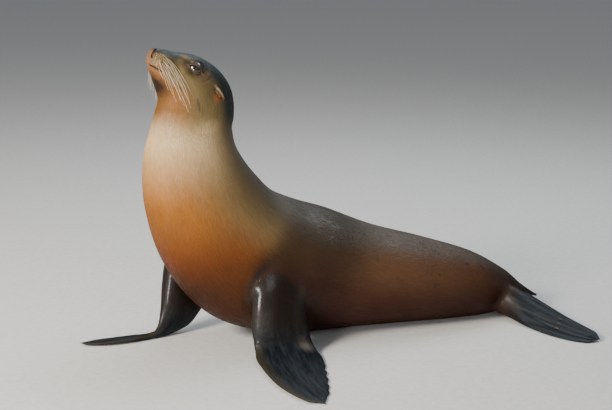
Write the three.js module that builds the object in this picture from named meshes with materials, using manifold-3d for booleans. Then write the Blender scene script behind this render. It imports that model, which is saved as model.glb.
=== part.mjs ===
// California sea lion, adult female, propped on its fore flippers: a still, life-size model in millimetres.
// +Z is up and the floor is z = 0. The animal faces -X with its chest and head turned towards -Y, so its
// left side is the -Y side. The finished group is moved so that the middle of its foot print is the origin.
import * as THREE from 'three';
import { mergeVertices } from 'three/addons/utils/BufferGeometryUtils.js';
import Module from 'manifold-3d';

const wasm = await Module();
wasm.setup();

// ---------------------------------------------------------------- driving dimensions
const GAP = 0.35;                  // clearance between neighbouring pieces
const HEAD_AT = [-292, -108, 719]; // midpoint between the eyes
const HEAD_YAW = 25;               // degrees the head turns from -X towards -Y
const HEAD_TILT = 27;              // degrees the muzzle points above level
const BODY_SIDES = 28;             // facets round the body
const BODY_RINGS = { trunk: 24, head: 22, cap: 3 };
const FLIPPER_SIDES = 14;
const FLIPPER_RINGS = 24;
const EYE_RADIUS = 20;
const EYE_AT = [-3, 34.5, -1];      // forward, left and up of the head's midpoint
const EAR = { length: 34, width: 15, depth: 9, at: [-75, 72, -30], droop: 30, flare: 16 };
const NAIL = { length: 13, width: 5, height: 4, share: 0.66, across: [0.3, 0.5, 0.7] };

// Stations along the body from the tail to the neck: centre x, y, z, then the yaw and tilt of the axis in
// degrees, and the half sizes towards the back, the belly and the sides.
const TRUNK_STATIONS = [
  { x: 638, y: 146, z: 42, yaw: 10, tilt: 20, back: 5, belly: 5, side: 8 },        // tail tip
  { x: 594, y: 141, z: 56, yaw: 10, tilt: 18, back: 20, belly: 17, side: 24 },     // tail
  { x: 535, y: 132, z: 66, yaw: 10, tilt: 10, back: 58, belly: 66, side: 66 },     // ankles
  { x: 440, y: 112, z: 88, yaw: 11, tilt: 8, back: 90, belly: 96, side: 108 },     // hips
  { x: 300, y: 80, z: 112, yaw: 13, tilt: 10, back: 114, belly: 121, side: 134 },  // loin
  { x: 150, y: 42, z: 138, yaw: 16, tilt: 14, back: 134, belly: 149, side: 148 },  // waist
  { x: 10, y: -4, z: 176, yaw: 21, tilt: 22, back: 156, belly: 190, side: 158 },   // ribs
  { x: -118, y: -42, z: 226, yaw: 29, tilt: 38, back: 160, belly: 216, side: 162 }, // chest
  { x: -210, y: -76, z: 302, yaw: 35, tilt: 58, back: 154, belly: 192, side: 158 }, // shoulders
  { x: -268, y: -100, z: 400, yaw: 36, tilt: 74, back: 144, belly: 154, side: 144 }, // neck base
  { x: -290, y: -114, z: 495, yaw: 32, tilt: 84, back: 118, belly: 127, side: 116 }, // middle of the neck
  { x: -292, y: -114, z: 560, yaw: 28, tilt: 90, back: 108, belly: 104, side: 98 }, // top of the neck
];

// Stations of the head: a point on the crown and one on the chin or throat, each forward and up of the
// head's midpoint, how far down between them the head is widest, and the half width there.
const HEAD_STATIONS = [
  { top: [-160, -64], low: [31, -142], widest: 0.47, side: 82 },  // nape and throat
  { top: [-142, -28], low: [34, -122], widest: 0.47, side: 76 },  // back of the skull
  { top: [-115, 2], low: [40, -106], widest: 0.46, side: 71 },    // ears
  { top: [-70, 25], low: [49, -95], widest: 0.44, side: 67 },     // crown
  { top: [-16, 33], low: [60, -84], widest: 0.42, side: 59 },     // brow
  { top: [24, 27], low: [71, -73], widest: 0.42, side: 48 },      // front of the eyes
  { top: [52, 18], low: [82, -62], widest: 0.46, side: 39 },      // root of the muzzle
  { top: [80, 12], low: [94, -50], widest: 0.5, side: 37 },       // whisker pads
  { top: [98, 7], low: [101, -40], widest: 0.48, side: 22 },      // nose
];
const NOSE_CAP = 13;   // how far the rounded end stands out past the last station
const TAIL_CAP = 8;

// Soft swellings and hollows of the head, mirrored to both sides: where, how wide, and which way they push.
const HEAD_FORMS = [
  { at: [2, 48, 20], radius: 24, push: [0, 3, 4] },        // brow
  { at: [-8, 53, -2], radius: 32, push: [0, -10, 0] },     // eye socket
  { at: [42, 40, -6], radius: 26, push: [0, -5, 0] },      // hollow before the eye
  { at: [84, 35, -22], radius: 25, push: [2, 7, 1] },      // whisker pad
  { at: [86, 28, -52], radius: 24, push: [-2, -6, 2] },    // side of the lower lip
  { at: [-25, 62, -48], radius: 48, push: [0, 5, 0] },     // cheek
];

// ---------------------------------------------------------------- small helpers
const rad = THREE.MathUtils.degToRad;
const vec = (a) => new THREE.Vector3(...a);
const smooth = (distance) => Math.max(0, 1 - distance * distance) ** 2;

function axesOf(yaw, tilt) {
  const [cy, sy, ct, st] = [Math.cos(yaw), Math.sin(yaw), Math.cos(tilt), Math.sin(tilt)];
  return {
    forward: vec([-cy * ct, -sy * ct, st]),
    left: vec([sy, -cy, 0]),
    up: vec([cy * st, sy * st, ct]),
  };
}

const headAxes = axesOf(rad(HEAD_YAW), rad(HEAD_TILT));
const headMatrix = new THREE.Matrix4()
  .makeBasis(headAxes.forward, headAxes.left, headAxes.up)
  .setPosition(vec(HEAD_AT));
const headPoint = (a) => vec(a).applyMatrix4(headMatrix);

// A sphere's grid of vertices laid over another closed surface: place(round, along) is asked for each
// vertex, with round going once about the surface and along running from 0 at its front end to 1. What
// would sink below the floor is pressed flat against it.
function wrapSphere(sides, rings, place) {
  const geometry = new THREE.SphereGeometry(1, sides, rings);
  const { position, uv } = geometry.attributes;
  for (let i = 0; i < position.count; i += 1) {
    const point = place(uv.getX(i) * 2 * Math.PI, 1 - uv.getY(i));
    position.setXYZ(i, point.x, point.y, Math.max(point.z, 0));
  }
  return geometry;
}

function solid(geometry, matrix = new THREE.Matrix4()) {
  const bare = geometry.clone().applyMatrix4(matrix);
  bare.deleteAttribute('normal');
  bare.deleteAttribute('uv');
  const merged = mergeVertices(bare, 1e-3);
  const kept = [];
  const index = merged.index.array;
  for (let i = 0; i < index.length; i += 3) {
    const [a, b, c] = index.slice(i, i + 3);
    if (a !== b && b !== c && c !== a) kept.push(a, b, c);
  }
  return new wasm.Manifold(new wasm.Mesh({
    numProp: 3,
    vertProperties: new Float32Array(merged.attributes.position.array),
    triVerts: new Uint32Array(kept),
  }));
}

function geometryOf(manifold) {
  const mesh = manifold.getMesh();
  const geometry = new THREE.BufferGeometry();
  const points = new Float32Array(mesh.numVert * 3);
  for (let i = 0; i < mesh.numVert; i += 1) {
    for (let k = 0; k < 3; k += 1) points[3 * i + k] = mesh.vertProperties[mesh.numProp * i + k];
  }
  geometry.setAttribute('position', new THREE.BufferAttribute(points, 3));
  geometry.setIndex(new THREE.BufferAttribute(new Uint32Array(mesh.triVerts), 1));
  return geometry;
}

// ---------------------------------------------------------------- body
function headStation({ top, low, widest, side }) {
  const [rise, run] = [top[1] - low[1], top[0] - low[0]];
  const height = Math.hypot(rise, run);
  const middle = headPoint([top[0] - run * widest, 0, top[1] - rise * widest]);
  const tilt = HEAD_TILT + THREE.MathUtils.radToDeg(Math.atan2(-run, rise));
  return {
    x: middle.x, y: middle.y, z: middle.z, yaw: HEAD_YAW, tilt,
    back: height * widest, belly: height * (1 - widest), side,
  };
}

const stations = [...TRUNK_STATIONS, ...HEAD_STATIONS.map(headStation)];
const spline = (read) => new THREE.CatmullRomCurve3(stations.map((s) => vec(read(s))), false, 'catmullrom');
const centreLine = spline((s) => [s.x, s.y, s.z]);
const turnLine = spline((s) => [rad(s.yaw), rad(s.tilt), 0]);
const sizeLine = spline((s) => [s.back, s.belly, s.side]);

function stationAt(index) {
  const share = index / (stations.length - 1);
  const turn = turnLine.getPoint(share);
  const size = sizeLine.getPoint(share);
  const axes = axesOf(turn.x, turn.y);
  return { centre: centreLine.getPoint(share), axes, back: size.x, belly: size.y, side: size.z };
}

function shapeHead(point) {
  const local = point.clone().sub(vec(HEAD_AT));
  const [f, l, u] = [headAxes.forward, headAxes.left, headAxes.up].map((axis) => local.dot(axis));
  for (const { at, radius, push } of HEAD_FORMS) {
    const away = Math.hypot(f - at[0], Math.abs(l) - at[1], u - at[2]) / radius;
    const share = smooth(Math.min(away, 1));
    point.addScaledVector(headAxes.forward, push[0] * share);
    point.addScaledVector(headAxes.left, Math.sign(l) * push[1] * share);
    point.addScaledVector(headAxes.up, push[2] * share);
  }
  return point;
}

// The station index of a ring counted from the tail: rings stand closer together on the head.
function stationOfRing(ring) {
  const neckTop = TRUNK_STATIONS.length - 1;
  const { trunk, head } = BODY_RINGS;
  if (ring <= trunk) return (ring / trunk) * neckTop;
  return neckTop + ((ring - trunk) / head) * (stations.length - 1 - neckTop);
}

function bodyGeometry(grow) {
  const { trunk, head, cap } = BODY_RINGS;
  const open = trunk + head;
  const rings = open + 2 * cap;
  return wrapSphere(BODY_SIDES, rings, (round, along) => {
    const ring = (1 - along) * rings - cap;
    const pastNose = Math.max(0, ring - open) / cap;
    const pastTail = Math.max(0, -ring) / cap;
    const { centre, axes, back, belly, side } = stationAt(
      stationOfRing(THREE.MathUtils.clamp(ring, 0, open)));
    const bend = (pastNose + pastTail) * Math.PI / 2;
    const up = -Math.cos(round);
    const reach = pastNose > 0 ? NOSE_CAP + grow : -TAIL_CAP - grow;
    const point = centre.addScaledVector(axes.forward, reach * Math.sin(bend))
      .addScaledVector(axes.up, up * ((up > 0 ? back : belly) + grow) * Math.cos(bend))
      .addScaledVector(axes.left, Math.sin(round) * (side + grow) * Math.cos(bend));
    return shapeHead(point);
  });
}

// Everything in front of a plane that crosses the body at a station, moved back by a gap.
function inFrontOf(index, gap) {
  const { centre, axes } = stationAt(index);
  const block = new THREE.BoxGeometry(2000, 2000, 2000);
  const middle = centre.addScaledVector(axes.forward, 1000 - gap);
  return solid(block, new THREE.Matrix4().makeBasis(axes.forward, axes.left, axes.up).setPosition(middle));
}

const bodyWhole = solid(bodyGeometry(0));
const bodyGrown = solid(bodyGeometry(GAP));
const pieces = {};

const CUTS = [['head', 12], ['neck', 9.1], ['chest', 5.3], ['belly', 3.4], ['rump', 1.35]];
let rest = bodyWhole;
for (const [name, index] of CUTS) {
  pieces[name] = rest.intersect(inFrontOf(index, 0));
  rest = rest.subtract(inFrontOf(index, GAP));
}
pieces.tail = rest;

// ---------------------------------------------------------------- jaw, nose and eyes
// The mouth runs back from under the nose and drops to its corner below the eye.
const MOUTH = [[125, -41], [96, -38], [83, -38.5], [71, -40.5], [49, -48], [24, -58], [14, -63]];
const JAW_BACK = [[22, -84], [44, -112], [130, -112]];

function jawBlock(gap) {
  const outline = new THREE.Shape([...MOUTH.map(([f, u]) => new THREE.Vector2(f - gap, u + gap)),
    ...JAW_BACK.map(([f, u]) => new THREE.Vector2(f - gap, u))]);
  const block = new THREE.ExtrudeGeometry(outline, { depth: 240, bevelEnabled: false });
  // the outline's first axis points forward and its second up, and the block runs from left to right
  const right = headAxes.left.clone().negate();
  const matrix = new THREE.Matrix4().makeBasis(headAxes.forward, headAxes.up, right);
  return solid(block, matrix.setPosition(headPoint([0, 120, 0])));
}

function ellipsoid(radii, at, grow = 0) {
  const ball = new THREE.SphereGeometry(1, 14, 10);
  const matrix = new THREE.Matrix4().makeBasis(headAxes.forward, headAxes.left, headAxes.up)
    .setPosition(headPoint(at))
    .scale(vec(radii.map((r) => r + grow)));
  return solid(ball, matrix);
}

pieces.jaw = pieces.head.intersect(jawBlock(0));
pieces.head = pieces.head.subtract(jawBlock(GAP));
const NOSE_BALL = [[17, 25, 21], [115, 0, -9]];
pieces.nose = pieces.head.intersect(ellipsoid(...NOSE_BALL));
pieces.head = pieces.head.subtract(ellipsoid(...NOSE_BALL, GAP));

const EYE_RADII = [EYE_RADIUS, EYE_RADIUS, EYE_RADIUS];
for (const side of [1, -1]) {
  const at = [EYE_AT[0], side * EYE_AT[1], EYE_AT[2]];
  pieces.head = pieces.head.subtract(ellipsoid(EYE_RADII, at, GAP));
}

// ---------------------------------------------------------------- ears
// A small pointed scroll that hangs back and down from its root, hollow along its lower front side.
const EAR_HOLLOW = { deep: 0.5, wide: 1.1 };

function earPoint(round, along) {
  const fat = Math.sin(Math.PI * along ** 0.8) ** 0.6;
  const facing = Math.min(1, Math.abs(round - Math.PI) / EAR_HOLLOW.wide);
  const dent = 1 - EAR_HOLLOW.deep * smooth(facing) * Math.sin(Math.PI * along);
  return [-Math.cos(round) * (EAR.width / 2) * fat * dent, EAR.length * (0.5 - along),
    Math.sin(round) * (EAR.depth / 2) * fat];
}

function earSolid(side) {
  const geometry = new THREE.SphereGeometry(1, 12, 8);
  const { position, uv } = geometry.attributes;
  for (let i = 0; i < position.count; i += 1) {
    position.setXYZ(i, ...earPoint(uv.getX(i) * 2 * Math.PI, 1 - uv.getY(i)));
  }
  const [droop, flare] = [rad(EAR.droop), rad(EAR.flare)];
  const root = vec([Math.cos(droop) * Math.cos(flare), -side * Math.sin(flare), Math.sin(droop)]).normalize();
  const width = root.clone().cross(vec([0, side, 0])).multiplyScalar(side).normalize();
  const basis = new THREE.Matrix4().makeBasis(width, root, width.clone().cross(root));
  const place = new THREE.Matrix4().makeTranslation(EAR.at[0], side * EAR.at[1], EAR.at[2]);
  return solid(geometry, headMatrix.clone().multiply(place).multiply(basis));
}

for (const [name, side] of [['ear_left', 1], ['ear_right', -1]]) {
  pieces[name] = earSolid(side).subtract(bodyGrown);
}

// ---------------------------------------------------------------- flippers
// Each flipper is drawn between a leading and a trailing edge, from deep in the body out to the tip,
// with its thickness at each pair of points.
const FLIPPERS = {
  fore_flipper_left: {
    lead: [[-90, -60, 300], [-108, -125, 268], [-122, -184, 228], [-134, -206, 180], [-137, -218, 125],
      [-138, -230, 62], [-134, -252, 18], [-111, -340, 9], [-66, -458, 7], [-8, -540, 6], [38, -570, 4]],
    trail: [[30, -10, 260], [44, -46, 240], [42, -84, 212], [22, -130, 170], [0, -166, 120],
      [6, -192, 62], [30, -222, 15], [46, -294, 5], [54, -380, 4], [57, -470, 3], [54, -556, 3]],
    thick: [90, 94, 92, 84, 74, 56, 34, 20, 16, 12, 6],
    scallop: 2.5,
  },
  fore_flipper_right: {
    lead: [[-330, -40, 350], [-342, -38, 285], [-360, -38, 230], [-374, -42, 180], [-382, -54, 120],
      [-386, -76, 60], [-402, -112, 18], [-450, -146, 9], [-510, -168, 7], [-560, -170, 6], [-594, -158, 4]],
    trail: [[-220, 40, 350], [-230, 44, 285], [-240, 42, 230], [-250, 34, 175], [-262, 14, 120],
      [-276, -14, 60], [-312, -44, 15], [-385, -72, 5], [-465, -96, 4], [-538, -122, 3], [-586, -144, 3]],
    thick: [90, 94, 92, 84, 74, 56, 34, 20, 16, 12, 6],
    scallop: 2.5,
  },
  hind_flipper_left: {
    lead: [[500, 110, 110], [560, 94, 90], [614, 48, 66], [670, -10, 46], [728, -72, 28], [782, -124, 12]],
    trail: [[500, 76, 20], [548, 46, 10], [592, -22, 4], [642, -88, 2], [696, -134, 2], [758, -158, 2]],
    thick: [70, 56, 36, 22, 14, 7],
    scallop: 0,
  },
  hind_flipper_right: {
    lead: [[505, 185, 92], [565, 172, 76], [612, 136, 54], [662, 78, 34], [710, 14, 18], [746, -40, 9]],
    trail: [[500, 150, 20], [558, 128, 10], [602, 82, 4], [650, 26, 2], [694, -30, 2], [726, -74, 2]],
    thick: [70, 56, 36, 22, 14, 7],
    scallop: 0,
  },
};
const SCALLOPS = { count: 5, from: 0.62 };   // digit tips along a fore flipper's trailing edge

function railsOf({ lead, trail, thick, scallop }) {
  const line = (points) => new THREE.CatmullRomCurve3(points, false, 'catmullrom');
  return {
    lead: line(lead.map(vec)),
    trail: line(trail.map(vec)),
    middle: line(lead.map((a, i) => vec(a).add(vec(trail[i])).multiplyScalar(0.5))),
    thick: line(thick.map((t) => vec([t, 0, 0]))),
    scallop,
  };
}

// A point of a flipper: share runs from the root to the tip, and round once about the section, which is
// thickest near its leading edge.
function onFlipper(rails, round, share, closing = 1) {
  const lead = rails.lead.getPoint(share);
  const chord = rails.trail.getPoint(share).sub(lead);
  const middle = lead.clone().addScaledVector(chord, 0.5);
  const hand = Math.max(0, share - SCALLOPS.from) / (1 - SCALLOPS.from);
  const wave = rails.scallop * Math.abs(Math.sin(SCALLOPS.count * Math.PI * hand));
  const ahead = rails.middle.getPoint(Math.min(1, share + 0.01));
  const span = ahead.sub(rails.middle.getPoint(Math.max(0, share - 0.01)));
  const normal = chord.clone().cross(span).normalize();
  const across = (1 - Math.cos(round)) / 2;
  const half = rails.thick.getPoint(share).x / 2;
  const width = chord.length() + wave * across;
  return middle.addScaledVector(chord.normalize(), (across - 0.5) * width * closing)
    .addScaledVector(normal, Math.sin(round) * (1 - 0.45 * across) * half * closing);
}

function flipperSolid(rails) {
  return solid(wrapSphere(FLIPPER_SIDES, FLIPPER_RINGS, (round, along) => {
    const fromTip = Math.max(0, 1 - along * FLIPPER_RINGS / 2);
    const fromRoot = along === 1 ? 1 : 0;
    return onFlipper(rails, round, 1 - along, Math.cos((fromTip + fromRoot) * Math.PI / 2));
  }));
}

// A small claw lying along a digit of a hind flipper, half sunk in its upper face.
function nailSolid(rails, across, grow) {
  const round = Math.acos(1 - 2 * across);
  const at = onFlipper(rails, round, NAIL.share);
  const span = onFlipper(rails, round, NAIL.share + 0.02).sub(at).normalize();
  const side = onFlipper(rails, round + 0.2, NAIL.share).sub(at).normalize();
  const normal = side.clone().cross(span).normalize();
  const matrix = new THREE.Matrix4().makeBasis(span, normal, span.clone().cross(normal)).setPosition(at)
    .scale(vec([NAIL.length, NAIL.height, NAIL.width].map((size) => size / 2 + grow)));
  return solid(new THREE.SphereGeometry(1, 6, 4), matrix);
}

const nails = {};
for (const [name, flipper] of Object.entries(FLIPPERS)) {
  const rails = railsOf(flipper);
  pieces[name] = flipperSolid(rails).subtract(bodyGrown);
  if (name.startsWith('hind')) {
    NAIL.across.forEach((across, i) => {
      nails[`${name.replace('flipper', 'nail')}_${i + 1}`] = nailSolid(rails, across, 0);
      pieces[name] = pieces[name].subtract(nailSolid(rails, across, GAP));
    });
  }
}

// ---------------------------------------------------------------- assembly
const MATERIALS = {
  coat: new THREE.MeshStandardMaterial({ color: 0x7a5236, roughness: 0.45, metalness: 0 }),
  crown: new THREE.MeshStandardMaterial({ color: 0x4c4a44, roughness: 0.45, metalness: 0 }),
  flipper: new THREE.MeshStandardMaterial({ color: 0x1c1b1d, roughness: 0.35, metalness: 0 }),
  nose: new THREE.MeshStandardMaterial({ color: 0x3b342f, roughness: 0.4, metalness: 0 }),
  nail: new THREE.MeshStandardMaterial({ color: 0x2c2622, roughness: 0.3, metalness: 0 }),
  eye: new THREE.MeshStandardMaterial({ color: 0x120a08, roughness: 0.05, metalness: 0 }),
};

const group = new THREE.Group();

function addPiece(name, manifold, material) {
  const mesh = new THREE.Mesh(geometryOf(manifold), material.clone());
  mesh.name = name;
  group.add(mesh);
}

function materialFor(name) {
  if (name.includes('flipper')) return MATERIALS.flipper;
  if (name === 'head' || name.startsWith('ear')) return MATERIALS.crown;
  return name === 'nose' ? MATERIALS.nose : MATERIALS.coat;
}

for (const [name, manifold] of Object.entries(pieces)) addPiece(name, manifold, materialFor(name));
for (const [name, manifold] of Object.entries(nails)) addPiece(name, manifold, MATERIALS.nail);

for (const [name, side] of [['eye_left', 1], ['eye_right', -1]]) {
  const eye = new THREE.Mesh(new THREE.SphereGeometry(EYE_RADIUS, 14, 10), MATERIALS.eye.clone());
  const place = new THREE.Matrix4().makeTranslation(EYE_AT[0], side * EYE_AT[1], EYE_AT[2]);
  eye.name = name;
  eye.applyMatrix4(headMatrix.clone().multiply(place));
  group.add(eye);
}

const box = new THREE.Box3().setFromObject(group);
const middle = box.getCenter(new THREE.Vector3());
group.position.set(-middle.x, -middle.y, -box.min.z);

export default group;
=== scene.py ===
"""Sea lion, adult female, propped up on its fore flippers: the looks of the still model.

Shapes are worked out in millimetres in the same layout as the solids: +Z up, the animal facing -X with
its chest and head turned towards -Y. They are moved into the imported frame, in metres, as they are made.
"""

import math

import bmesh
import bpy
import numpy as np
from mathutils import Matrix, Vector
from mathutils.bvhtree import BVHTree


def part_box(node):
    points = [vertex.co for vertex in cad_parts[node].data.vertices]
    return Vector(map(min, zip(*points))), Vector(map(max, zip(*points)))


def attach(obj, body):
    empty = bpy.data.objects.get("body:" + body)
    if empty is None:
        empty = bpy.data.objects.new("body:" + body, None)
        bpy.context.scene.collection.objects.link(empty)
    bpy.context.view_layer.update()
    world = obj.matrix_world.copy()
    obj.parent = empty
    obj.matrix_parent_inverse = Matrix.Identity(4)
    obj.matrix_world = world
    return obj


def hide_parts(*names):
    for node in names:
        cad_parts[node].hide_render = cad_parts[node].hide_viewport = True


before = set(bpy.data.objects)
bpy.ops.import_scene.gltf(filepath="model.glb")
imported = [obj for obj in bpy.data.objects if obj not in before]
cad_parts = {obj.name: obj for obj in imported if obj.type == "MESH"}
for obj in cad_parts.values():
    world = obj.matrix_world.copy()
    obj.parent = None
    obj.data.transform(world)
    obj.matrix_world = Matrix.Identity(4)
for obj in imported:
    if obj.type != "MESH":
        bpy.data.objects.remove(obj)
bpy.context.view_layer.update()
SEED = 20

# ---------------------------------------------------------------- driving dimensions, in millimetres
HEAD_AT = np.array([-292, -108, 719.0])   # midpoint between the eyes
HEAD_YAW = 25                             # degrees from -X towards -Y
HEAD_TILT = 27                            # degrees above level
COAT_DEPTH = 1.0                          # how far the skin lies inside the solids
BARE_DEPTH = 0.3                          # the same on the bare flippers
EYE_RADIUS = 20
EYE_AT = np.array([-3, 34.5, -1])         # forward, left and up of the head's midpoint
FLOOR_SOFTNESS = 3                        # how gently flesh rounds where it meets the ground
BODY_SIDES = 176
TRUNK_STEP = 7.5                          # distance between rings of the skin
HEAD_STEP = 2.2

# x, y, z of the axis, its yaw and tilt, and the half sizes to the back, the belly and the sides
TRUNK_STATIONS = [
    (638, 146, 42, 10, 20, 5, 5, 8),          # tail tip
    (594, 141, 56, 10, 18, 20, 17, 24),       # tail
    (535, 132, 66, 10, 10, 58, 66, 66),       # ankles
    (440, 112, 88, 11, 8, 90, 96, 108),       # hips
    (300, 80, 112, 13, 10, 114, 121, 134),    # loin
    (150, 42, 138, 16, 14, 134, 149, 148),    # waist
    (10, -4, 176, 21, 22, 156, 190, 158),     # ribs
    (-118, -42, 226, 29, 38, 160, 216, 162),  # chest
    (-210, -76, 302, 35, 58, 154, 192, 158),  # shoulders
    (-268, -100, 400, 36, 74, 144, 154, 144),  # neck base
    (-290, -114, 495, 32, 84, 118, 127, 116),  # middle of the neck
    (-292, -114, 560, 28, 90, 108, 104, 98),  # top of the neck
]
# a crown point and a throat point, forward and up of the head's midpoint, how far down between them the
# head is widest, and the half width there
HEAD_STATIONS = [
    ((-160, -64), (31, -142), 0.47, 82),      # nape and throat
    ((-142, -28), (34, -122), 0.47, 76),      # back of the skull
    ((-115, 2), (40, -106), 0.46, 71),        # ears
    ((-70, 25), (49, -95), 0.44, 67),         # crown
    ((-16, 33), (60, -84), 0.42, 59),         # brow
    ((24, 27), (71, -73), 0.42, 48),          # front of the eyes
    ((52, 18), (82, -62), 0.46, 39),          # root of the muzzle
    ((80, 12), (94, -50), 0.5, 37),           # whisker pads
    ((98, 7), (101, -40), 0.48, 22),          # nose
]
NOSE_CAP = 13
TAIL_CAP = 8
# swellings of the head shared with the solids: place, radius and push, each forward, outward and up
HEAD_FORMS = [
    ((2, 48, 20), 24, (0, 3, 4)),             # brow
    ((-8, 53, -2), 32, (0, -10, 0)),          # eye socket
    ((42, 40, -6), 26, (0, -5, 0)),           # hollow before the eye
    ((84, 35, -22), 25, (2, 7, 1)),           # whisker pad
    ((86, 28, -52), 24, (-2, -6, 2)),         # side of the lower lip
    ((-25, 62, -48), 48, (0, 5, 0)),          # cheek
]
MOUTH = [(125, -41), (96, -38), (83, -38.5), (71, -40.5), (49, -48), (24, -58), (14, -63)]

FORE_THICK = [90, 94, 92, 84, 74, 56, 34, 20, 16, 12, 6]
HIND_THICK = [70, 56, 36, 22, 14, 7]
# leading edge, trailing edge and thickness from deep in the body out to the tip
FLIPPERS = {
    "fore_flipper_left": (
        [(-90, -60, 300), (-108, -125, 268), (-122, -184, 228), (-134, -206, 180), (-137, -218, 125),
         (-138, -230, 62), (-134, -252, 18), (-111, -340, 9), (-66, -458, 7), (-8, -540, 6), (38, -570, 4)],
        [(30, -10, 260), (44, -46, 240), (42, -84, 212), (22, -130, 170), (0, -166, 120), (6, -192, 62),
         (30, -222, 15), (46, -294, 5), (54, -380, 4), (57, -470, 3), (54, -556, 3)],
        FORE_THICK),
    "fore_flipper_right": (
        [(-330, -40, 350), (-342, -38, 285), (-360, -38, 230), (-374, -42, 180), (-382, -54, 120),
         (-386, -76, 60), (-402, -112, 18), (-450, -146, 9), (-510, -168, 7), (-560, -170, 6),
         (-594, -158, 4)],
        [(-220, 40, 350), (-230, 44, 285), (-240, 42, 230), (-250, 34, 175), (-262, 14, 120),
         (-276, -14, 60), (-312, -44, 15), (-385, -72, 5), (-465, -96, 4), (-538, -122, 3),
         (-586, -144, 3)],
        FORE_THICK),
    "hind_flipper_left": (
        [(500, 110, 110), (560, 94, 90), (614, 48, 66), (670, -10, 46), (728, -72, 28), (782, -124, 12)],
        [(500, 76, 20), (548, 46, 10), (592, -22, 4), (642, -88, 2), (696, -134, 2), (758, -158, 2)],
        HIND_THICK),
    "hind_flipper_right": (
        [(505, 185, 92), (565, 172, 76), (612, 136, 54), (662, 78, 34), (710, 14, 18), (746, -40, 9)],
        [(500, 150, 20), (558, 128, 10), (602, 82, 4), (650, 26, 2), (694, -30, 2), (726, -74, 2)],
        HIND_THICK),
}
WRIST = 0.56                              # share of a fore flipper's length where the hand begins
FINGER_ENDS = (0.965, 0.925, 0.88, 0.83, 0.78)
TOOTH_DEPTH = 5
TOOTH_HALF = 0.02                         # half width of a tooth, as a share of the flipper's length
TOES_FROM, TOE_GAP = 0.06, 0.22           # where the first toe lies across a hind flipper, and the next
TOE_SPLIT = 0.075                         # how deep the tip is notched between two toes
WEB_SINK = {"fore": 0.38, "hind": 0.5}    # how much thinner a flipper is between its digits
FLIPPER_MESH = {"fore": (56, 130), "hind": (48, 84)}


# ---------------------------------------------------------------- small tools
def catmull(rows, at):
    """A smooth line through the rows, read at the given row numbers."""
    rows = np.asarray(rows, float)
    at = np.clip(np.atleast_1d(at).astype(float), 0, len(rows) - 1)
    i = np.minimum(at.astype(int), len(rows) - 2)
    f = (at - i)[:, None]
    padded = np.vstack([2 * rows[0] - rows[1], rows, 2 * rows[-1] - rows[-2]])
    a, b, c, d = (padded[i + k] for k in range(4))
    return 0.5 * (2 * b + (c - a) * f + (2 * a - 5 * b + 4 * c - d) * f**2 + (3 * b - a - 3 * c + d) * f**3)


def smoothstep(low, high, x):
    t = np.clip((x - low) / (high - low), 0, 1)
    return t * t * (3 - 2 * t)


def bell(distance):
    """1 at the middle, 0 from a distance of 1."""
    return np.clip(1 - distance**2, 0, 1) ** 2


def length_of(v):
    return np.linalg.norm(v, axis=-1)


def turns(sides):
    """Angles spread evenly round a circle."""
    return np.arange(sides) / sides * 2 * math.pi


def unit(v):
    return v / np.maximum(np.linalg.norm(v, axis=-1, keepdims=True), 1e-9)


def axes_of(yaw, tilt):
    """Forward, left and up, for angles in degrees."""
    y, t = np.radians(yaw), np.radians(tilt)
    level = np.zeros(np.shape(y))
    forward = np.stack([-np.cos(y) * np.cos(t), -np.sin(y) * np.cos(t), np.sin(t)], -1)
    left = np.stack([np.sin(y), -np.cos(y), level], -1)
    up = np.stack([np.cos(y) * np.sin(t), np.sin(y) * np.sin(t), np.cos(t)], -1)
    return forward, left, up


HEAD_AXES = np.array(axes_of(HEAD_YAW, HEAD_TILT))


def to_head(points):
    return (points - HEAD_AT) @ HEAD_AXES.T


def from_head(places):
    return HEAD_AT + np.asarray(places, float) @ HEAD_AXES


def frame_shift():
    """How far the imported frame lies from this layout, read off the left eye's solid."""
    low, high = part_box("eye_left")
    return (np.array(low) + np.array(high)) * 500 - from_head(EYE_AT)


SHIFT = frame_shift()


def metres(points):
    return (np.asarray(points, float) + SHIFT) * 0.001


def add_object(name, data):
    obj = bpy.data.objects.new(name, data)
    bpy.context.scene.collection.objects.link(obj)
    return obj


def make_mesh(name, points, faces, edges=()):
    """A new object from points in millimetres."""
    mesh = bpy.data.meshes.new(name)
    mesh.from_pydata(metres(points).tolist(), edges, faces)
    mesh.update()
    return add_object(name, mesh)


def read_all(items, key, width=1, kind=float):
    """One value, or one row of values, from each item of a mesh."""
    flat = np.empty(len(items) * width, kind)
    items.foreach_get(key, flat)
    return flat.reshape(-1, width) if width > 1 else flat


def points_of(obj):
    return read_all(obj.data.vertices, "co", 3) * 1000 - SHIFT


def set_points(obj, points):
    obj.data.vertices.foreach_set("co", metres(points).ravel())
    obj.data.update()


def normals_of(obj):
    return read_all(obj.data.vertex_normals, "vector", 3)


def edges_of(obj):
    return read_all(obj.data.edges, "vertices", 2, int)


def triangles_of(obj):
    obj.data.calc_loop_triangles()
    return read_all(obj.data.loop_triangles, "vertices", 3, int)


def paint(obj, name, values):
    """Keeps one number or one vector at each point of a mesh."""
    values = np.asarray(values, np.float32)
    kind = "FLOAT" if values.ndim == 1 else "FLOAT_VECTOR"
    layer = obj.data.attributes.new(name, kind, "POINT")
    layer.data.foreach_set("value" if values.ndim == 1 else "vector", values.ravel())


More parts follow.
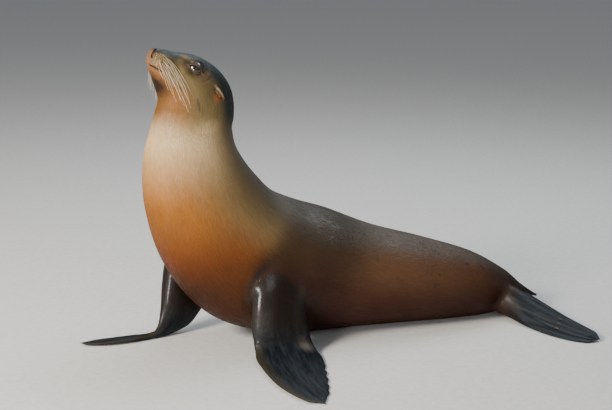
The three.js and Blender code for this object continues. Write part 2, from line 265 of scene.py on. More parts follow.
def grid_faces(rings, sides, turned=False):
    """Quads of a tube of rings, with a fan at each end to the last two points."""
    r, s = np.meshgrid(np.arange(rings - 1), np.arange(sides), indexing="ij")
    n = (s + 1) % sides
    quads = np.stack([r * sides + s, r * sides + n, (r + 1) * sides + n, (r + 1) * sides + s], -1)
    first, last = rings * sides, rings * sides + 1
    top = (rings - 1) * sides
    start = [(first, (k + 1) % sides, k) for k in range(sides)]
    end = [(last, top + k, top + (k + 1) % sides) for k in range(sides)]
    faces = quads.reshape(-1, 4).tolist() + start + end
    return [face[::-1] for face in faces] if turned else faces


def relax(points, edges, weight, rounds):
    """Evens out points along their edges, each as far as its weight says."""
    count = len(points)
    a, b = edges.T
    degree = (np.bincount(a, minlength=count) + np.bincount(b, minlength=count))[:, None]
    for _ in range(rounds):
        total = np.stack([np.bincount(a, points[b, k], count) + np.bincount(b, points[a, k], count)
                          for k in range(3)], -1)
        points = points + weight[:, None] * (total / degree - points)
    return points


class Surface:
    """A finished surface that other points can be matched to."""

    def __init__(self, obj):
        self.points = points_of(obj)
        self.triangles = triangles_of(obj)
        self.tree = BVHTree.FromPolygons(self.points.tolist(), self.triangles.tolist())

    def nearest(self, points):
        """Matches points to the surface: the spot, how far it is, and how to read values kept there."""
        found = [self.tree.find_nearest(Vector(p)) for p in points.tolist()]
        spot = np.array([f[0] for f in found])
        face = self.triangles[np.array([f[2] for f in found])]
        away = np.array([f[3] for f in found])
        a, b, c = (self.points[face[:, k]] for k in range(3))
        u, v, w = b - a, c - a, spot - a
        uu, uv, vv = (u * u).sum(1), (u * v).sum(1), (v * v).sum(1)
        wu, wv = (w * u).sum(1), (w * v).sum(1)
        area = np.maximum(uu * vv - uv * uv, 1e-12)
        second = (vv * wu - uv * wv) / area
        third = (uu * wv - uv * wu) / area
        share = np.stack([1 - second - third, second, third], -1)
        return spot, away, lambda values: np.einsum("ij,ij...->i...", share, values[face])

    def cast(self, start, way):
        """The spot and the facing where a line meets the surface."""
        spot, normal, _, _ = self.tree.ray_cast(Vector(start), Vector(way))
        return np.array(spot), np.array(normal)


def boolean(obj, tool, operation):
    modifier = obj.modifiers.new(operation, "BOOLEAN")
    modifier.operation = operation
    modifier.object = tool
    modifier.solver = "MANIFOLD"
    graph = bpy.context.evaluated_depsgraph_get()
    mesh = bpy.data.meshes.new_from_object(obj.evaluated_get(graph))
    obj.modifiers.remove(modifier)
    old = obj.data
    obj.data = mesh
    bpy.data.meshes.remove(old)
    spent = tool.data
    bpy.data.objects.remove(tool)
    bpy.data.meshes.remove(spent)


# ---------------------------------------------------------------- body and flippers
def head_station(top, low, widest, side):
    top, low = np.array(top, float), np.array(low, float)
    drop = top - low
    height = math.hypot(*drop)
    middle = top - drop * widest
    centre = from_head((middle[0], 0, middle[1]))
    tilt = HEAD_TILT + math.degrees(math.atan2(-drop[0], drop[1]))
    return (*centre, HEAD_YAW, tilt, height * widest, height * (1 - widest), side)


STATIONS = np.array(TRUNK_STATIONS + [head_station(*s) for s in HEAD_STATIONS], float)
LAST = len(STATIONS) - 1
NECK_TOP = len(TRUNK_STATIONS) - 1


def ring_places():
    """Station numbers of the rings, closer together on the head."""
    fine = np.linspace(0, LAST, 4001)
    rows = catmull(STATIONS, fine)
    up = axes_of(rows[:, 3], rows[:, 4])[2]
    back = rows[:, :3] + up * rows[:, 5:6]
    path = np.linalg.norm(np.diff(back, axis=0), axis=1)
    step = np.interp(fine[1:], [NECK_TOP - 1, NECK_TOP + 2], [TRUNK_STEP, HEAD_STEP])
    count = np.concatenate([[0], np.cumsum(path / step)])
    return np.interp(np.linspace(0, count[-1], int(count[-1])), count, fine)


def path_lengths(points):
    """How far along a path each of its points lies."""
    return np.concatenate([[0], np.cumsum(length_of(np.diff(points, axis=0)))])


def body_grid(places, sides, grow, cap=10):
    """Points of the body ring by ring from the tail, and the same points on a body pulled straight."""
    bend = np.linspace(0, math.pi / 2, cap, endpoint=False)[1:]
    zero = np.zeros(len(places))
    index = np.concatenate([0 * bend, places, 0 * bend + LAST])
    turn = np.concatenate([bend[::-1], zero, bend])
    reach = np.concatenate([0 * bend - TAIL_CAP - grow, zero, 0 * bend + NOSE_CAP + grow])
    rows = catmull(STATIONS, index)
    forward, left, up = axes_of(rows[:, 3], rows[:, 4])
    middle = rows[:, :3] + forward * (reach * np.sin(turn))[:, None]
    angle = turns(sides)
    rise, aside = np.cos(angle), np.sin(angle)
    tall = np.where(rise > 0, rows[:, 5:6], rows[:, 6:7]) + grow
    high = rise * tall * np.cos(turn)[:, None]
    wide = aside * (rows[:, 7:8] + grow) * np.cos(turn)[:, None]
    points = middle[:, None] + up[:, None] * high[..., None] + left[:, None] * wide[..., None]
    run = path_lengths(middle)
    straight = np.stack([np.repeat(run[:, None], sides, 1), wide, high], -1)
    station = np.repeat(index[:, None], sides, 1)
    lie = np.repeat(-forward[:, None], sides, 1)
    tips = np.stack([rows[0, :3] - forward[0] * (TAIL_CAP + grow),
                     rows[-1, :3] + forward[-1] * (NOSE_CAP + grow)])
    kept = np.concatenate([straight, station[..., None], lie], -1).reshape(-1, 7)
    ends = np.array([[-1, 0, 0, 0, *-forward[0]], [run[-1] + 1, 0, 0, LAST, *-forward[-1]]])
    return np.vstack([points.reshape(-1, 3), tips]), np.vstack([kept, ends]), len(index)


def folded(local):
    """Places of the head with its two sides laid on each other."""
    return np.stack([local[:, 0], np.abs(local[:, 1]), local[:, 2]], -1)


def push_head(points):
    """Moves points by the head's shared swellings, alike on both sides."""
    local = to_head(points)
    side = np.sign(local[:, 1])
    moved = local.copy()
    for at, radius, push in HEAD_FORMS:
        share = bell(length_of(folded(local) - at) / radius)
        moved += share[:, None] * np.stack([push[0] + 0 * side, push[1] * side, push[2] + 0 * side], -1)
    return from_head(moved)


def rest_on_floor(points):
    """Flesh below the floor is pressed flat, with a soft edge."""
    z = points[:, 2]
    points[:, 2] = 0.5 * (z + np.sqrt(z * z + FLOOR_SOFTNESS**2)) - 0.5 * FLOOR_SOFTNESS * bell(z / 60)
    points[:, 2] = np.maximum(points[:, 2], 0)
    return points


def digit_lines(kind, share):
    """How far across a flipper each digit lies at a share of its length, from the leading edge."""
    if kind == "hind":
        return [TOES_FROM + TOE_GAP * k + 0 * share for k in range(5)]
    fan = np.clip(share - WRIST, 0, 1)
    lines = [0.14 + 0.5 * fan]
    for k, end in enumerate(FINGER_ENDS):
        start = 0.3 + 0.14 * k
        lines.append(start + (1 - start) * (fan / (end - WRIST)) ** 1.5)
    return lines


def teeth(share):
    """Small points where the fingers end on the trailing edge: 0 at a point and 1 between two."""
    gap = np.min([np.abs(share - end) for end in FINGER_ENDS], axis=0)
    span = smoothstep(FINGER_ENDS[-1] - 0.05, FINGER_ENDS[-1] - 0.02, share)
    return np.clip(gap / TOOTH_HALF, 0, 1) * span * (1 - smoothstep(0.975, 0.99, share))


def flipper_points(kind, rails, share, round_):
    """Points of a flipper, for shares of its length and angles about its section."""
    lead, trail, thick = (np.array(r, float) for r in rails)
    rows = len(lead) - 1
    share, round_ = np.broadcast_arrays(share[:, None], round_[None])
    across = (1 - np.cos(round_)) / 2
    if kind == "hind":
        split = np.abs(np.sin(math.pi * np.clip((across - TOES_FROM) / TOE_GAP, 0, 4))) ** 1.5
        near = share - (TOE_SPLIT * split + 0.05 * (across - 0.4) ** 2) * smoothstep(0.78, 1, share)
    else:
        near = share
    at = near.ravel() * rows
    shape = near.shape + (3,)
    front, rear = catmull(lead, at).reshape(shape), catmull(trail, at).reshape(shape)
    half = catmull(thick[:, None], at).reshape(near.shape) / 2 - BARE_DEPTH
    middle = (lead + trail) / 2
    ahead, behind = np.minimum(rows, at + 0.01 * rows), np.maximum(0, at - 0.01 * rows)
    span = unit(catmull(middle, ahead) - catmull(middle, behind)).reshape(shape)
    chord = rear - front
    length = length_of(chord)
    chord = chord / length[..., None]
    normal = unit(np.cross(chord, span))
    close = np.cos(np.maximum(0, 1 - (1 - share) * 12) * math.pi / 2)
    width = length - 2 * BARE_DEPTH
    ridge = np.max([bell((across - line) / 0.085) for line in digit_lines(kind, near)], axis=0)
    fleshy = smoothstep(0.3, 0.6, near) if kind == "hind" else smoothstep(WRIST, WRIST + 0.12, near)
    half = half * (1 - WEB_SINK[kind] * fleshy * (1 - ridge) * smoothstep(0.02, 0.1, across))
    slide = (across - 0.5) * width * close
    if kind == "fore":
        slide = slide - TOOTH_DEPTH * teeth(near) * smoothstep(0.8, 1, across)
    lift = np.sin(round_) * (1 - 0.45 * across) * half * close
    centre = front + chord * (length / 2)[..., None]
    points = centre + chord * slide[..., None] + normal * lift[..., None]
    run = path_lengths(centre[:, 0])
    kept = np.stack([np.repeat(run[:, None], near.shape[1], 1), slide, lift, near, across,
                     span[..., 0], span[..., 1], span[..., 2]], -1)
    return points, kept


def flipper_mesh(name):
    kind = name.split("_")[0]
    sides, rings = FLIPPER_MESH[kind]
    tip = 1 - 0.1 * np.cos(np.linspace(0, math.pi / 2, 20, endpoint=False)) ** 1.4
    arm = WRIST if kind == "fore" else 0.3
    few = int(rings * 0.32)
    share = np.concatenate([np.linspace(0, arm, few, endpoint=False),
                            np.linspace(arm, 0.9, rings - 20 - few, endpoint=False), tip])
    points, kept = flipper_points(kind, FLIPPERS[name], share, turns(sides))
    tips = np.stack([points[0].mean(0), points[-1].mean(0)])
    points = np.vstack([points.reshape(-1, 3), tips])
    points[:, 2] = np.maximum(points[:, 2], 0)
    obj = make_mesh(name + "_shape", points, grid_faces(len(share), sides))
    whole = kept.reshape(-1, 8)
    return obj, np.vstack([whole, whole[0], whole[-1]])


# ---------------------------------------------------------------- eyes and their lids
GAZE = (18, 3)                            # degrees towards the front and up
LID_CORNERS = ((-44, -6), (71, 7))        # outer and inner corner, each towards the front and up
LID_ARCH = (22, -18)                      # how far the upper and lower lids bow, in degrees
LID_THICK = 1.3
LID_REACH = 20                            # how far round the eye the lids' roundness shows
EYE_ZONE = 46                             # farthest from the eyeball's centre that the lids can lie


def mirrored(places, side):
    return np.asarray(places, float) * [1, side, 1]


def toward(front, up):
    """A direction from the eyeball's centre, in the head's own axes."""
    a, e = np.radians(front), np.radians(up)
    return np.stack([np.sin(a) * np.cos(e), np.cos(a) * np.cos(e), np.sin(e)], -1)


def lid_edge(t, upper):
    """Angles of a lid's edge, for t from -1 at the outer corner to 1 at the inner one."""
    (front0, up0), (front1, up1) = LID_CORNERS
    mid = (t + 1) / 2
    bow = np.clip(1 - t * t, 0, 1) ** (0.62 if upper else 0.8)
    lean = 1 + (0.12 if upper else -0.1) * t
    arch = LID_ARCH[0 if upper else 1] * bow * lean
    return front0 + (front1 - front0) * mid, up0 + (up1 - up0) * mid + arch


def lid_outline(count=26):
    t = -np.cos(np.linspace(0, math.pi, count))
    over = np.stack(lid_edge(t, True), -1)
    under = np.stack(lid_edge(t[::-1], False), -1)[1:-1]
    return toward(*np.vstack([over, under]).T)


LID_OUTLINE = lid_outline()


def around_eye(points, side):
    """Where points lie about an eye: their direction, distance, and how far outside the lids' edge."""
    away = mirrored(to_head(points), side) - EYE_AT
    radius = length_of(away)
    heading = away / radius[:, None]
    front = np.degrees(np.arctan2(heading[:, 0], heading[:, 1]))
    up = np.degrees(np.arcsin(np.clip(heading[:, 2], -1, 1)))
    t = (front - LID_CORNERS[0][0]) / (LID_CORNERS[1][0] - LID_CORNERS[0][0]) * 2 - 1
    inner = np.clip(t, -1, 1)
    within = (np.abs(t) < 1) & (up < lid_edge(inner, True)[1]) & (up > lid_edge(inner, False)[1])
    closest = np.max(heading @ LID_OUTLINE.T, axis=1)
    outside = np.arccos(np.clip(closest, -1, 1)) * EYE_RADIUS * np.where(within, -1, 1)
    above = up - lid_edge(inner, True)[1]
    return heading, radius, outside, above


def shape_lids(points):
    for side in (1, -1):
        near = np.flatnonzero(length_of(mirrored(to_head(points), side) - EYE_AT) < EYE_ZONE)
        heading, radius, outside, above = around_eye(points[near], side)
        share = (1 - smoothstep(3, LID_REACH, outside)) * (1 - smoothstep(25, 40, radius))
        share *= smoothstep(-0.35, 0.1, heading[:, 1])
        rim = 0.7 * bell((outside - 1.2) / 2.4)
        fold = 0.8 * bell((outside - 5.5) / 3) * smoothstep(-4, 8, above) + 0.4 * bell((outside - 5) / 3)
        ball = EYE_RADIUS + LID_THICK
        target = np.minimum(ball + 0.45 * np.maximum(0, outside - 2.5), np.maximum(radius, ball))
        target = target + rim - fold
        length = radius * (1 - share) + target * share
        points[near] = from_head(mirrored(EYE_AT + heading * length[:, None], side))
    return points


def lid_opening(side):
    """The space between the lids, from behind the eyeball's face to well outside the head."""
    count = len(LID_OUTLINE)
    middle = unit(LID_OUTLINE.mean(0))
    inner, outer = EYE_RADIUS - 2, EYE_RADIUS + 16
    places = np.vstack([LID_OUTLINE * inner, LID_OUTLINE * outer, middle * inner, middle * outer])
    faces = []
    for k in range(count):
        n = (k + 1) % count
        faces += [(k, n, count + n, count + k), (n, k, 2 * count), (count + k, count + n, 2 * count + 1)]
    if side < 0:
        faces = [face[::-1] for face in faces]
    return make_mesh("opening", from_head(mirrored(EYE_AT + places, side)), faces)


# ---------------------------------------------------------------- mouth, nostrils and ears
MOUTH_HALF = 0.75
LIP_DEPTH = 8
BLADE_HALF = 95.0                         # how far the cut along the mouth reaches to each side
LIP_CORE = (60, 48, 5)                    # rings, sides and end rings of the shape the cut stops at
NOSTRIL = [(101, 8, 8), (104, 12, 1), (107, 15, -7), (108, 17, -14), (107, 18, -19)]
EAR = {"length": 34, "width": 15, "depth": 9, "droop": 30, "flare": 16}
EAR_AT = (-75, 72, -30)
EAR_HOLLOW = (0.55, 1.1)


def mouth_height(forward):
    line = np.array(MOUTH, float)[::-1]
    return np.interp(forward, line[:, 0], line[:, 1])


def shape_lips(points, normals):
    local = to_head(points)
    below = local[:, 2] - mouth_height(local[:, 0])
    front = smoothstep(8, 40, local[:, 0]) * (local[:, 2] < 20)
    lift = 1.3 * bell((below - 5) / 6) - 1.9 * bell((below + 2.5) / 5) + 1.0 * bell((below + 11) / 6)
    return points + normals * (lift * front)[:, None]


def mouth_blade():
    """A thin sheet along the closed mouth, as deep as the lips."""
    path = np.array(MOUTH, float)
    t = np.gradient(path, axis=0)
    across = unit(np.stack([-t[:, 1], t[:, 0]], -1))
    half = MOUTH_HALF * np.interp(path[:, 0], [14, 24, 86, 98, 104], [0.2, 1, 1, 1.9, 1.9])
    corners = []
    for side in (-1, 1):
        for way in (-1, 1):
            edge = path + across * (way * half)[:, None]
            aside = np.full(len(path), side * BLADE_HALF)
            corners.append(np.column_stack([edge[:, 0], aside, edge[:, 1]]))
    n = len(path)
    faces = []
    for i in range(n - 1):
        a, b, c, d = (k * n + i for k in (0, 1, 3, 2))
        faces += [(a, a + 1, b + 1, b), (b, b + 1, c + 1, c), (c, c + 1, d + 1, d), (d, d + 1, a + 1, a)]
    faces += [(0, n, 3 * n, 2 * n), (2 * n + n - 1, 3 * n + n - 1, n + n - 1, n - 1)]
    blade = make_mesh("blade", from_head(np.vstack(corners)), faces)
    fix_normals(blade)
    count, sides, cap = LIP_CORE
    places = np.linspace(NECK_TOP, LAST, count)
    core, _, rings = body_grid(places, sides, -COAT_DEPTH - LIP_DEPTH, cap)
    boolean(blade, make_mesh("core", push_head(core), grid_faces(rings, sides, True)), "DIFFERENCE")
    return blade


def fix_normals(obj):
    """Turns a closed shape's faces outwards."""
    shape = bmesh.new()
    shape.from_mesh(obj.data)
    if shape.calc_volume(signed=True) < 0:
        bmesh.ops.reverse_faces(shape, faces=shape.faces)
    shape.to_mesh(obj.data)
    shape.free()


def tube(name, path, radii, sides=10):
    """A closed tube along a path."""
    path = np.asarray(path, float)
    along = unit(np.gradient(path, axis=0))
    first = unit(np.cross(along, along[0] * 0 + [0.3, 0.5, 0.81]))
    second = np.cross(along, first)
    angle = turns(sides)
    ring = first[:, None] * np.cos(angle)[:, None] + second[:, None] * np.sin(angle)[:, None]
    points = path[:, None] + ring * np.asarray(radii, float)[:, None, None]
    points = np.vstack([points.reshape(-1, 3), path[:1], path[-1:]])
    obj = make_mesh(name, points, grid_faces(len(path), sides))
    fix_normals(obj)
    return obj


def nostril(surface, side):
    line = catmull(NOSTRIL, np.linspace(0, len(NOSTRIL) - 1, 14))
    spots = surface.nearest(from_head(mirrored(line, side)))[0]
    spots = relax(spots, np.stack([np.arange(13), np.arange(1, 14)], -1), np.r_[0, np.full(12, 0.5), 0], 2)
    radii = 2.9 * np.sin(np.linspace(0.12, math.pi - 0.12, 14)) ** 0.5
    return tube("nostril", spots, radii)


def ear_mesh(side):
    sides, rings = 32, 40
    along = np.linspace(0.01, 0.99, rings)[:, None]
    round_ = turns(sides)[None]
    fat = np.sin(math.pi * along**0.8) ** 0.6
    facing = np.minimum(1, np.abs(round_ - math.pi) / EAR_HOLLOW[1])
    dent = 1 - EAR_HOLLOW[0] * bell(facing) * np.sin(math.pi * along)
    wide = -np.cos(round_) * (EAR["width"] / 2 - 0.2) * fat * dent
    deep = np.sin(round_) * (EAR["depth"] / 2 - 0.2) * fat
    long = np.broadcast_to((EAR["length"] - 0.5) * (0.5 - along), wide.shape)
    points = np.stack([wide, long, deep], -1)
    tips = np.stack([points[0].mean(0), points[-1].mean(0)])
    places = np.vstack([points.reshape(-1, 3), tips])
    droop, flare = math.radians(EAR["droop"]), math.radians(EAR["flare"])
    root = unit(np.array([math.cos(droop) * math.cos(flare), -side * math.sin(flare), math.sin(droop)]))
    width = unit(np.cross(root, [0, side, 0])) * side
    turned = places @ np.stack([width, root, np.cross(width, root)])
    obj = make_mesh("ear", from_head(turned + mirrored(EAR_AT, side)), grid_faces(rings, sides))
    fix_normals(obj)
    return obj


# ---------------------------------------------------------------- the skin
def refine(obj, chosen):
    """Halves the faces that touch the chosen points."""
    shape = bmesh.new()
    shape.from_mesh(obj.data)
    bmesh.ops.triangulate(shape, faces=shape.faces)
    shape.verts.ensure_lookup_table()
    faces = {face for i in np.flatnonzero(chosen) for face in shape.verts[i].link_faces}
    edges = list({edge for face in faces for edge in face.edges})
    bmesh.ops.subdivide_edges(shape, edges=edges, cuts=1, use_grid_fill=True)
    bmesh.ops.triangulate(shape, faces=shape.faces)
    shape.to_mesh(obj.data)
    shape.free()


LIMB_MARGIN = 175                         # how far from a flipper the body still counts as near it
FINE_ROUND_EYE = 23                       # the skin's mesh is finer this near to an eye
FINE_AT_LIPS = 4                          # and this near to the mouth's line
SEAM_ROUNDS = 40
SHOULDERS_AT = (-40, -290)                # x of the left and of the right shoulder
SEAM_REACH = {"fore": 26, "hind": 18}     # how far the joins with the flippers are evened out
EAR_SEAM = 5
FORE_FROM = 4                             # stations from here on belong to the front half


def build_skin():
    points, kept, rings = body_grid(ring_places(), BODY_SIDES, -COAT_DEPTH)
    skin = make_mesh("skin", rest_on_floor(push_head(points)), grid_faces(rings, BODY_SIDES, True))
    trunk = Surface(skin)
    limbs = {}
    for name in FLIPPERS:
        shape, local = flipper_mesh(name)
        fix_normals(shape)
        limbs[name] = (Surface(shape), local)
        boolean(skin, shape, "UNION")
    ears = []
    for side in (1, -1):
        ear = ear_mesh(side)
        ears.append(Surface(ear))
        boolean(skin, ear, "UNION")
    points = points_of(skin)
    local = to_head(points)
    eye = np.minimum(*(length_of(mirrored(local, s) - EYE_AT - [0, 14, 0]) for s in (1, -1)))
    lips = (np.abs(local[:, 2] - mouth_height(local[:, 0])) < FINE_AT_LIPS) & (local[:, 0] > 30)
    refine(skin, (eye < FINE_ROUND_EYE) | lips)
    points = points_of(skin)
    edges = edges_of(skin)

    _, off_trunk, read = trunk.nearest(points)
    body = read(kept)
    hand = np.zeros((len(points), 8))
    off_limb = np.full(len(points), 1e3)
    which = np.zeros(len(points))
    seam = np.zeros(len(points))
    for name, (surface, along) in limbs.items():
        near = np.flatnonzero((points > surface.points.min(0) - LIMB_MARGIN).all(1)
                              & (points < surface.points.max(0) + LIMB_MARGIN).all(1))
        _, away, read_limb = surface.nearest(points[near])
        closer = away < off_limb[near]
        hand[near[closer]] = read_limb(along)[closer]
        which[near[closer]] = list(limbs).index(name)
        off_limb[near[closer]] = away[closer]
        gap = np.maximum(away, off_trunk[near]) / SEAM_REACH[name.split("_")[0]]
        seam[near] = np.maximum(seam[near], bell(gap))
    for surface in ears:
        near = np.flatnonzero(length_of(points - surface.points.mean(0)) < 60)
        _, away, _ = surface.nearest(points[near])
        gap = np.maximum(away, off_trunk[near]) / EAR_SEAM
        seam[near] = np.maximum(seam[near], 0.8 * bell(gap))
    limb = smoothstep(-14, 14, off_trunk - off_limb)
    fore = body[:, 3] > FORE_FROM
    # how far the painted shade round each flipper reaches on the body: wider behind the fore flippers,
    # fading out up the shoulders
    shoulder = points[:, 0] - np.where(which == 0, *SHOULDERS_AT)
    shade = np.where(fore, 45 + 125 * smoothstep(-50, 90, shoulder), 60)
    fade = 1 - smoothstep(300, 430, points[:, 2] + 90 * (which == 1))
    wrist = 0.5 * limb * fore * bell((hand[:, 3] - WRIST - 0.015) / 0.09) * smoothstep(2, 6, points[:, 2])
    floor_kept = points[:, 2].copy()
    points = relax(points, edges, np.maximum(0.5 * seam, wrist), SEAM_ROUNDS)
    points[:, 2] = np.where(floor_kept < 0.5, floor_kept, np.maximum(points[:, 2], 0))
    set_points(skin, points)
    return skin, {
        "lie": body[:, :3],
        "station": body[:, 3],
        "hand": hand[:, :5],
        "limb": limb,
        "flow": unit(body[:, 4:7] * (1 - limb[:, None]) + hand[:, 5:8] * limb[:, None]),
        # how strongly the painted shade round the flippers lies here
        "near_limb_shade": (1 - smoothstep(0, shade, off_limb)) * fade,
        "which": which,
    }


def cut_openings(skin):
    surface = Surface(skin)
    for side in (1, -1):
        boolean(skin, lid_opening(side), "DIFFERENCE")
        boolean(skin, nostril(surface, side), "DIFFERENCE")
    boolean(skin, mouth_blade(), "DIFFERENCE")


# ---------------------------------------------------------------- materials
class Number:
    """A number or colour inside a finish, so that sums on it read as sums."""

    def __init__(self, finish, socket):
        self.finish = finish
        self.socket = socket

    def worked(self, operation, *values):
        return self.finish.node("ShaderNodeMath", {"operation": operation}, dict(enumerate(values)))

    def __add__(self, other):
        return self.worked("ADD", self, other)

    def __rsub__(self, other):
        return self.worked("SUBTRACT", other, self)

    def __mul__(self, other):
        return self.worked("MULTIPLY", self, other)

    def within(self, low, high, start=0.0, end=1.0):
        """Eases from start to end as the number goes from low to high."""
        settings = {"interpolation_type": "SMOOTHSTEP"}
        values = {"Value": self, "From Min": low, "From Max": high, "To Min": start, "To Max": end}
        return self.finish.node("ShaderNodeMapRange", settings, values)


class Finish:
    """A material whose surface is put together from nodes."""

    def __init__(self, name):
        self.material = bpy.data.materials.new(name)
        self.material.use_nodes = True
        self.tree = self.material.node_tree
        self.surface = self.tree.nodes["Principled BSDF"]

    def node(self, kind, settings=None, sockets=None, output=0):
        made = self.tree.nodes.new(kind)
        for key, value in (settings or {}).items():
            setattr(made, key, value)
        for key, value in (sockets or {}).items():
            self.feed(made.inputs[key], value)
        return Number(self, made.outputs[output])

    def feed(self, socket, value):
        if isinstance(value, Number):
            self.tree.links.new(value.socket, socket)
        elif isinstance(value, tuple) and len(value) == 3 and socket.type == "RGBA":
            socket.default_value = (*value, 1)
        else:
            socket.default_value = value

    def mark(self, name, vector=False):
        return self.node("ShaderNodeAttribute", {"attribute_name": name}, output=1 if vector else 2)

    def mix(self, share, first, second, way="MIX"):
        return self.node("ShaderNodeMix", {"data_type": "RGBA", "blend_type": way},
                         {0: share, 6: first, 7: second}, output=2)

    def place(self):
        """Where a point lies in its piece, in metres."""
        return self.node("ShaderNodeTexCoord", output=3)

    def stretched(self, place, scale):
        return self.node("ShaderNodeMapping", None, {"Vector": place, "Scale": scale})

    def noise(self, place, scale, detail=3.0, rough=0.55, twist=0.0):
        return self.node("ShaderNodeTexNoise", None, {"Vector": place, "Scale": scale, "Detail": detail,
                                                      "Roughness": rough, "Distortion": twist})

    def cells(self, place, scale):
        return self.node("ShaderNodeTexVoronoi", None, {"Vector": place, "Scale": scale})

    def layers(self, colour, rows):
        """Lays colours over one another, each where its mark says and as strongly as its share."""
        for name, share, tone in rows:
            mark = self.mark(name)
            colour = self.mix(mark * share if share < 1 else mark, colour, srgb(*tone))
        return colour

    def bump(self, height, distance, under=None):
        values = {"Height": height, "Distance": distance, "Strength": 1.0}
        if under:
            values["Normal"] = under
        return self.node("ShaderNodeBump", None, values)

    def set(self, **values):
        for name, value in values.items():
            self.feed(self.surface.inputs[name.replace("_", " ")], value)


def srgb(r, g, b):
    """A colour given the way a screen shows it, 0 to 255."""
    return tuple(((c / 255 + 0.055) / 1.055) ** 2.4 if c > 10 else c / 255 / 12.92 for c in (r, g, b))


CHEST = (138, 84, 18)
OLIVE = (122, 104, 70)
BACK = (80, 70, 52)
# the arms' dark brown, also laid on the body round them as painted shade
ARM_AND_SHADE = (23, 12, 5)
LIMB = (9, 12, 16)
LIMB_SHEEN = (30, 36, 42)
# the crown's slate grey, also used as painted shade in front of the eyes
CROWN_GREY_AND_SHADE = (41, 47, 43)
# near black: the follicles' own colour, and painted shade in folds, wrinkles, slits and the mouth's line
DARK_AND_SHADE = (18, 12, 10)
# each zone's mark, how strongly it shows and its colour, the later ones over the earlier ones
FUR_LAYERS = (
    # the neck's lighter tan, brightened further as a painted highlight
    ("pale_and_highlight", 1, (202, 176, 134)),
    # painted shade: the chest darker and redder towards its underside
    ("under", 1, (88, 42, 3)),
    # painted shade: darker still low on the front half
    ("deep", 1, (32, 13, 2)),
    ("flank", 1, (74, 33, 11)),
    ("rear", 1, (72, 33, 9)),
    # painted sheen: a lighter band along the middle of the flank
    ("side", 1, (94, 66, 44)),
    # the back's top greyer: countershading, and a painted sheen
    ("dorsal_grey_and_sheen", 1, (90, 87, 79)),
    # painted shade: darker towards the floor all round
    ("low", 1, (42, 16, 4)),
    ("throat", 1, (118, 78, 34)),
    ("chin", 1, (34, 16, 2)),
    ("cheek", 1, (104, 88, 56)),
    ("crown", 1, CROWN_GREY_AND_SHADE),
    ("lip", 1, (126, 98, 70)),
    ("lower_lip", 1, (128, 82, 60)),
    ("nose", 1, (120, 86, 58)),
    ("nose_top", 0.85, (52, 52, 52)),
    # painted shade in the dip in front of the eyes
    ("hollow_shade", 1, CROWN_GREY_AND_SHADE),
    # painted shade in the neck's wrinkles
    ("wrinkle_shade", 1, DARK_AND_SHADE),
    ("brow", 1, (128, 108, 78)),
    ("socket", 1, (50, 34, 22)),
    ("follicle", 0.75, DARK_AND_SHADE),
    ("ear_root", 1, (150, 84, 44)),
    ("ear", 1, (168, 136, 104)),
    # painted shade in the ear's slit
    ("ear_slit_shade", 0.85, DARK_AND_SHADE),
)
SKIN_LAYERS = (
    ("border", 0.7, (54, 48, 34)),
    ("lobe", 0.8, (88, 84, 74)),
    # painted shade in the fold where the arm meets the chest
    ("crease_shade", 1, DARK_AND_SHADE),
    # painted shade in the fold at the wrist
    ("wrist", 1, DARK_AND_SHADE),
    ("rim", 1, (128, 104, 86)),
    # painted shade along the mouth's line and the nostrils
    ("dark", 1, DARK_AND_SHADE),
)


